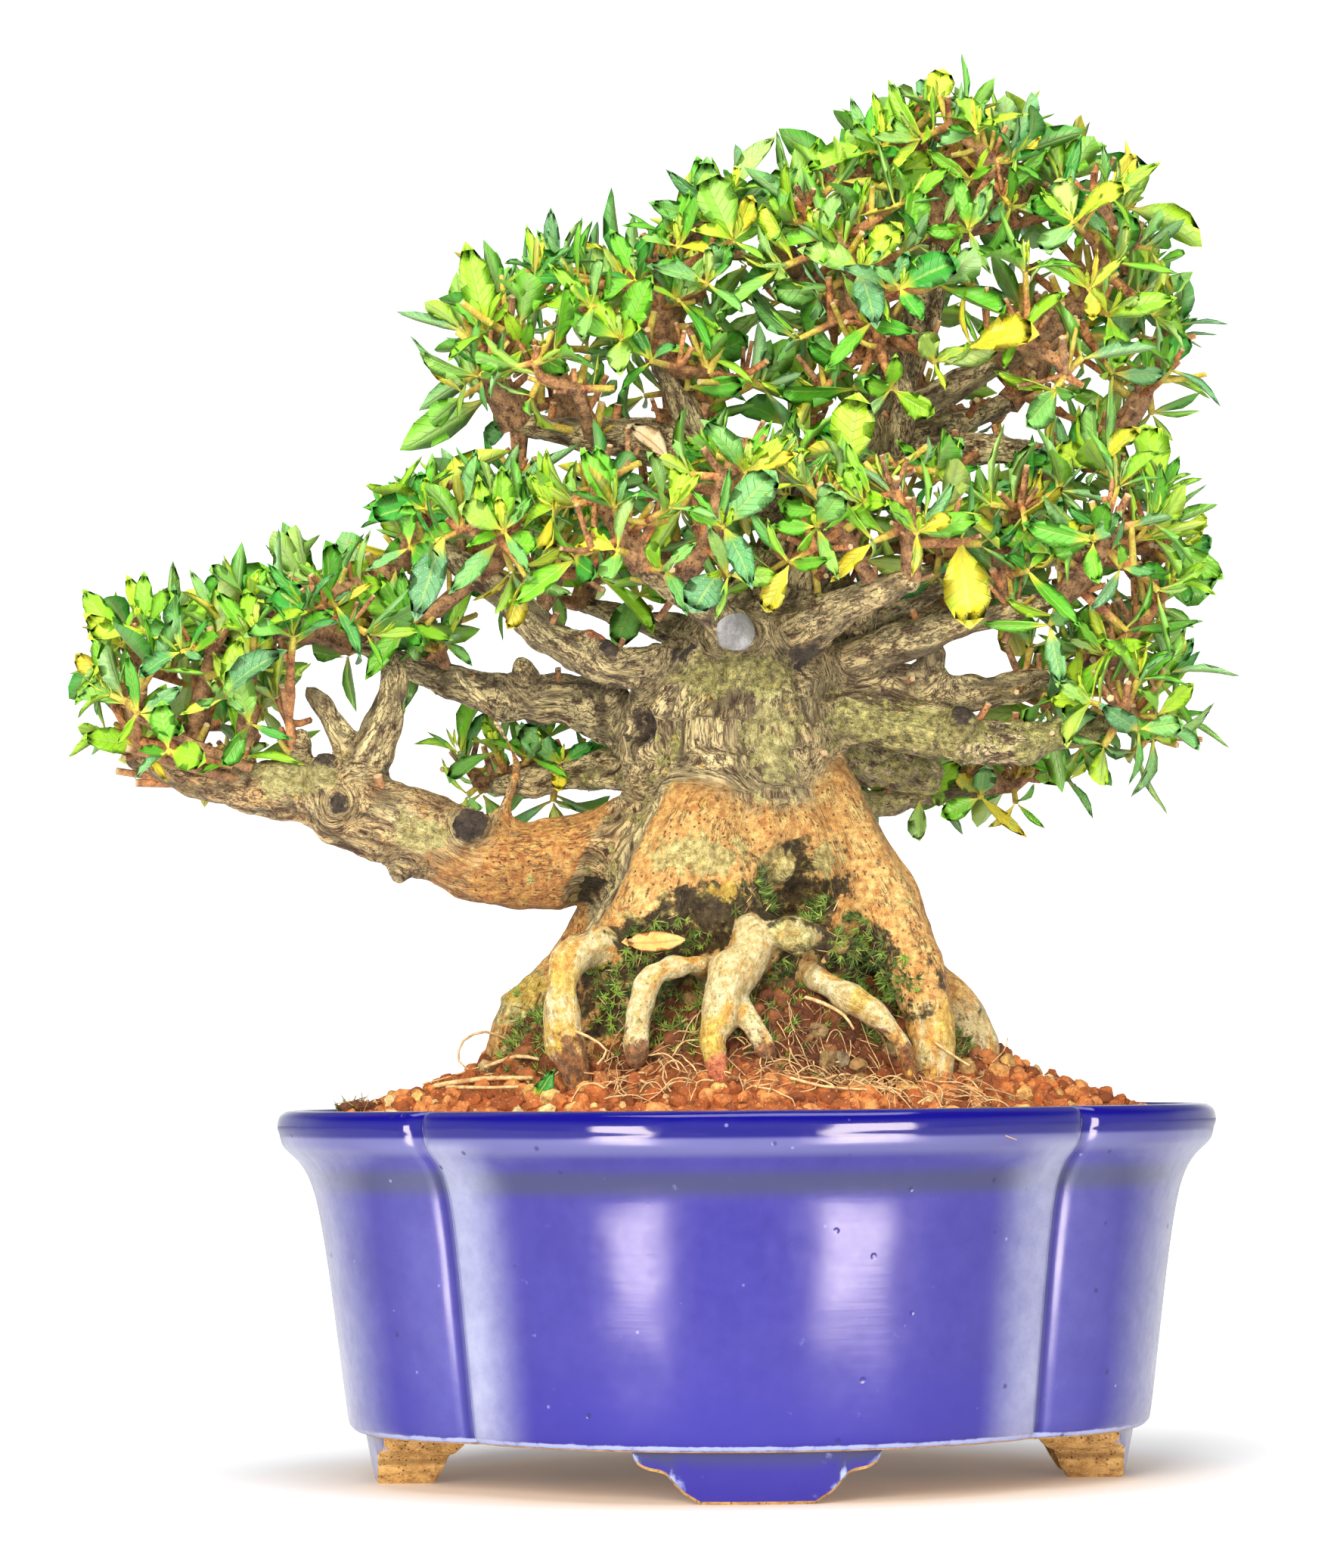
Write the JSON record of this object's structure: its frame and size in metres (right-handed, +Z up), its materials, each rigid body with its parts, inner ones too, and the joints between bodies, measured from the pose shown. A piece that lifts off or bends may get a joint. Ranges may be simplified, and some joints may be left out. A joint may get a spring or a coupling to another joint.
{
  "type": "satsuki azalea bonsai",
  "caption": "Old satsuki azalea bonsai with exposed roots and a low left limb, in a lobed, deep blue glazed pot on bracket feet.",
  "frame": {"origin": "centre of the whole object's bounding box, seen from above, at the level of the feet's soles", "axes": "+Z up, +X to the right as seen from the front of the pot, with the low limb towards -X, +Y away from the front"},
  "size_m": [0.2602, 0.1636, 0.3141],
  "materials": {
    "glazed_clay": "glossy cobalt blue glaze, bare tan clay on the foot ends and under the pot",
    "akadama_soil": "matte red-brown grains",
    "bark": "tan to grey-brown bark with olive lichen and moss",
    "foliage": "satin green leaves on reddish twigs",
    "screen_plastic": "matte black mesh",
    "wound_paste": "matte grey-white cut paste",
    "dry_leaf": "dry orange-tan leaf"
  },
  "bodies": {
    "root": {"caught_leaf": "dry_leaf", "drain_screen_left": "screen_plastic", "drain_screen_right": "screen_plastic", "fallen_leaf": "dry_leaf", "pot": "glazed_clay", "soil": "akadama_soil", "spray_back_left_limb_1a": "foliage", "spray_back_left_limb_1b": "foliage", "spray_back_right_limb_1a": "foliage", "spray_back_right_limb_1b": "foliage", "spray_front_left_limb_1": "foliage", "spray_front_left_limb_2": "foliage", "spray_front_right_limb_1": "foliage", "spray_front_right_limb_2": "foliage", "spray_front_riser_1": "foliage", "spray_low_left_limb_3": "foliage", "spray_low_left_limb_4": "foliage", "spray_low_left_limb_5": "foliage", "spray_low_right_limb_2": "foliage", "spray_mid_back_left_limb_1": "foliage", "spray_mid_back_right_limb_1a": "foliage", "spray_mid_back_right_limb_1b": "foliage", "spray_mid_left_limb_1": "foliage", "spray_mid_left_limb_2a": "foliage", "spray_mid_left_limb_2b": "foliage", "spray_mid_left_limb_3": "foliage", "spray_near_right_limb_1": "foliage", "spray_near_right_limb_2a": "foliage", "spray_near_right_limb_2b": "foliage", "spray_rising_left_limb_1": "foliage", "spray_rising_right_limb_1": "foliage", "spray_rising_right_limb_2": "foliage", "spray_side_right_limb_1a": "foliage", "spray_side_right_limb_1b": "foliage", "spray_side_right_limb_2": "foliage", "spray_side_right_limb_3": "foliage", "spray_top_back_left_limb_1": "foliage", "spray_top_back_left_limb_2": "foliage", "spray_top_back_right_limb_1": "foliage", "spray_top_back_right_limb_2": "foliage", "spray_top_left_limb_1a": "foliage", "spray_top_left_limb_1b": "foliage", "spray_top_left_limb_2": "foliage", "spray_top_left_limb_3": "foliage", "spray_top_right_limb_2": "foliage", "spray_top_right_limb_3": "foliage", "spray_trunk_1a": "foliage", "spray_trunk_1b": "foliage", "spray_trunk_2": "foliage", "spray_trunk_3": "foliage", "spray_trunk_4": "foliage", "spray_upper_left_limb_1": "foliage", "spray_upper_left_limb_2": "foliage", "spray_upper_right_limb_1a": "foliage", "spray_upper_right_limb_1b": "foliage", "spray_upper_right_limb_1c": "foliage", "spray_upper_right_limb_2": "foliage", "trunk": "bark", "wound_paste": "wound_paste"}
  },
  "joints": []
}
